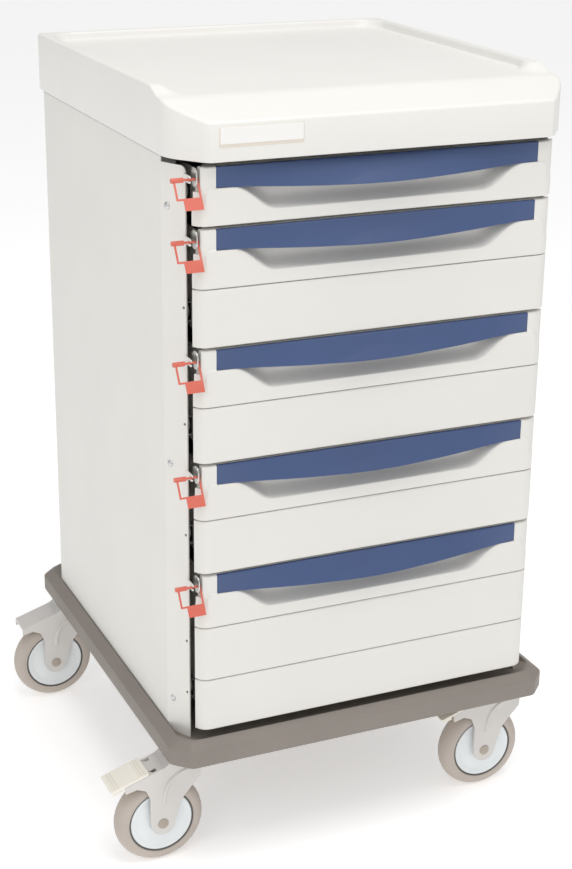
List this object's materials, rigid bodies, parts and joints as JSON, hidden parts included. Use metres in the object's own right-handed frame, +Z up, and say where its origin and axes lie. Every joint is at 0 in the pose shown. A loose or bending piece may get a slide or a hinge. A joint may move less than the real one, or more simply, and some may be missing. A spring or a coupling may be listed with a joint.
{
  "type": "instrument cart",
  "caption": "Clinic instrument cart: drawer cabinet with breakaway seals and finger-scoop fronts, a rimmed worktop, a bumper base and swivel casters.",
  "frame": {"origin": "bottom centre of the whole cart's bounding box, on the floor", "axes": "+Z up, drawer fronts face -Y, +X to the right as seen from the front"},
  "size_m": [0.6486, 0.641, 1.0657],
  "materials": {
    "panel_paint": "fine satin powder coat",
    "front_plastic": "fine-grained moulded plastic",
    "top_plastic": "smooth moulded plastic",
    "grip_blue": "fine-grained moulded plastic",
    "base_taupe": "grained bumper plastic",
    "seal_coral": "thin moulded plastic",
    "label_blank": "smooth",
    "steel": "plated",
    "zinc": "zinc plated",
    "box_plastic": "smooth moulded plastic",
    "fork_paint": "satin",
    "hub_white": "smooth",
    "tyre_grey": "matt",
    "pedal_cream": "ribbed"
  },
  "bodies": {
    "cabinet": {"base_tray": "base_taupe", "side_panel_left": "panel_paint", "side_panel_right": "panel_paint", "back_panel": "panel_paint", "corner_flanges": "panel_paint", "top_plate": "zinc", "worktop": "top_plastic", "worktop_label": "label_blank", "panel_screws": "zinc", "cabinet_rails": "zinc", "slide_uprights": "zinc", "caster_plates": "zinc"},
    "drawer_1": {"drawer_1_box": "box_plastic", "drawer_1_front": "front_plastic", "drawer_1_grip": "grip_blue", "drawer_1_hasp": "steel", "drawer_1_rails": "zinc"},
    "seal_1": {"seal_1": "seal_coral"},
    "drawer_2": {"drawer_2_box": "box_plastic", "drawer_2_front": "front_plastic", "drawer_2_grip": "grip_blue", "drawer_2_hasp": "steel", "drawer_2_rails": "zinc"},
    "seal_2": {"seal_2": "seal_coral"},
    "drawer_3": {"drawer_3_box": "box_plastic", "drawer_3_front": "front_plastic", "drawer_3_grip": "grip_blue", "drawer_3_hasp": "steel", "drawer_3_rails": "zinc"},
    "seal_3": {"seal_3": "seal_coral"},
    "drawer_4": {"drawer_4_box": "box_plastic", "drawer_4_front": "front_plastic", "drawer_4_grip": "grip_blue", "drawer_4_hasp": "steel", "drawer_4_rails": "zinc"},
    "seal_4": {"seal_4": "seal_coral"},
    "drawer_5": {"drawer_5_box": "box_plastic", "drawer_5_front": "front_plastic", "drawer_5_grip": "grip_blue", "drawer_5_hasp": "steel", "drawer_5_rails": "zinc"},
    "seal_5": {"seal_5": "seal_coral"},
    "swivel_front_left": {"caster_front_left_fork": "fork_paint", "caster_front_left_axle": "steel"},
    "wheel_front_left": {"caster_front_left_hub": "hub_white", "caster_front_left_tyre": "tyre_grey"},
    "pedal_front_left": {"brake_pedal_front_left": "pedal_cream"},
    "swivel_front_right": {"caster_front_right_fork": "fork_paint", "caster_front_right_axle": "steel"},
    "wheel_front_right": {"caster_front_right_hub": "hub_white", "caster_front_right_tyre": "tyre_grey"},
    "pedal_front_right": {"brake_pedal_front_right": "pedal_cream"},
    "swivel_rear_left": {"caster_rear_left_fork": "fork_paint", "caster_rear_left_axle": "steel"},
    "wheel_rear_left": {"caster_rear_left_hub": "hub_white", "caster_rear_left_tyre": "tyre_grey"},
    "swivel_rear_right": {"caster_rear_right_fork": "fork_paint", "caster_rear_right_axle": "steel"},
    "wheel_rear_right": {"caster_rear_right_hub": "hub_white", "caster_rear_right_tyre": "tyre_grey"}
  },
  "joints": [
    {"name": "drawer_1_slide", "type": "slide", "parent": "cabinet", "child": "drawer_1", "axis": [0, -1, 0], "range_m": [0, 0.4]},
    {"name": "seal_1_swing", "type": "hinge", "parent": "drawer_1", "child": "seal_1", "pos_m": [-0.20945, -0.2935, 0.9646], "axis": [-1, 0, 0], "range_deg": [0, 60]},
    {"name": "drawer_2_slide", "type": "slide", "parent": "cabinet", "child": "drawer_2", "axis": [0, -1, 0], "range_m": [0, 0.4]},
    {"name": "seal_2_swing", "type": "hinge", "parent": "drawer_2", "child": "seal_2", "pos_m": [-0.20945, -0.2935, 0.8884], "axis": [-1, 0, 0], "range_deg": [0, 60]},
    {"name": "drawer_3_slide", "type": "slide", "parent": "cabinet", "child": "drawer_3", "axis": [0, -1, 0], "range_m": [0, 0.4]},
    {"name": "seal_3_swing", "type": "hinge", "parent": "drawer_3", "child": "seal_3", "pos_m": [-0.20945, -0.2935, 0.736], "axis": [-1, 0, 0], "range_deg": [0, 60]},
    {"name": "drawer_4_slide", "type": "slide", "parent": "cabinet", "child": "drawer_4", "axis": [0, -1, 0], "range_m": [0, 0.4]},
    {"name": "seal_4_swing", "type": "hinge", "parent": "drawer_4", "child": "seal_4", "pos_m": [-0.20945, -0.2935, 0.5836], "axis": [-1, 0, 0], "range_deg": [0, 60]},
    {"name": "drawer_5_slide", "type": "slide", "parent": "cabinet", "child": "drawer_5", "axis": [0, -1, 0], "range_m": [0, 0.4]},
    {"name": "seal_5_swing", "type": "hinge", "parent": "drawer_5", "child": "seal_5", "pos_m": [-0.20945, -0.2935, 0.4312], "axis": [-1, 0, 0], "range_deg": [0, 60]},
    {"name": "swivel_front_left_turn", "type": "hinge", "parent": "cabinet", "child": "swivel_front_left", "pos_m": [-0.21625, -0.238, 0.156], "axis": [0, 0, 1], "continuous": true},
    {"name": "wheel_front_left_roll", "type": "hinge", "parent": "swivel_front_left", "child": "wheel_front_left", "pos_m": [-0.24945, -0.238, 0.0635], "axis": [0, 1, 0], "continuous": true},
    {"name": "pedal_front_left_lift", "type": "hinge", "parent": "swivel_front_left", "child": "pedal_front_left", "pos_m": [-0.26325, -0.238, 0.138], "axis": [0, 1, 0], "range_deg": [0, 18]},
    {"name": "swivel_front_right_turn", "type": "hinge", "parent": "cabinet", "child": "swivel_front_right", "pos_m": [0.28975, -0.238, 0.156], "axis": [0, 0, 1], "continuous": true},
    {"name": "wheel_front_right_roll", "type": "hinge", "parent": "swivel_front_right", "child": "wheel_front_right", "pos_m": [0.25655, -0.238, 0.0635], "axis": [0, 1, 0], "continuous": true},
    {"name": "pedal_front_right_lift", "type": "hinge", "parent": "swivel_front_right", "child": "pedal_front_right", "pos_m": [0.24275, -0.238, 0.138], "axis": [0, 1, 0], "range_deg": [0, 18]},
    {"name": "swivel_rear_left_turn", "type": "hinge", "parent": "cabinet", "child": "swivel_rear_left", "pos_m": [-0.21625, 0.2695, 0.156], "axis": [0, 0, 1], "continuous": true},
    {"name": "wheel_rear_left_roll", "type": "hinge", "parent": "swivel_rear_left", "child": "wheel_rear_left", "pos_m": [-0.24945, 0.2695, 0.0635], "axis": [0, 1, 0], "continuous": true},
    {"name": "swivel_rear_right_turn", "type": "hinge", "parent": "cabinet", "child": "swivel_rear_right", "pos_m": [0.28975, 0.2695, 0.156], "axis": [0, 0, 1], "continuous": true},
    {"name": "wheel_rear_right_roll", "type": "hinge", "parent": "swivel_rear_right", "child": "wheel_rear_right", "pos_m": [0.25655, 0.2695, 0.0635], "axis": [0, 1, 0], "continuous": true}
  ]
}
